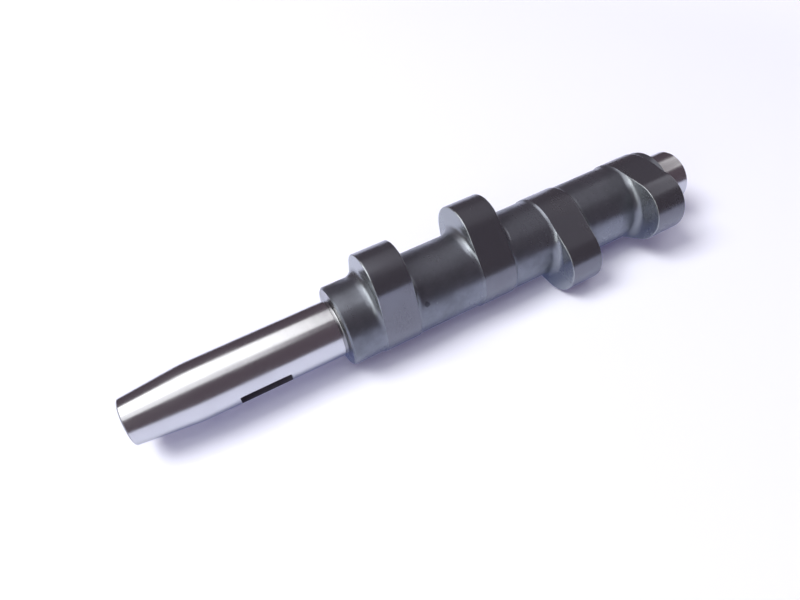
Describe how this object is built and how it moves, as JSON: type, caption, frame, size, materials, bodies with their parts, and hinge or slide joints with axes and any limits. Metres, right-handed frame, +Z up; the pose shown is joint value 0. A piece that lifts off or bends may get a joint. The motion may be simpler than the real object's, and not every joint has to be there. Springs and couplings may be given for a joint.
{
  "type": "camshaft",
  "caption": "Short one-piece camshaft with a keyed, tapered nose, a relief and shoulder, wide cam lobes on a thick core and a plain end journal.",
  "frame": {"origin": "on the shaft's axis at the locating shoulder", "axes": "+X along the shaft from the nose to the far end; +Z up with the shaft lying at rest on the flank of its third lobe"},
  "size_m": [0.2232, 0.0413, 0.0388],
  "materials": {
    "steel": "dark satin steel, ground bright on both journals and the nose taper"
  },
  "bodies": {
    "root": {"camshaft": "steel"}
  },
  "joints": []
}
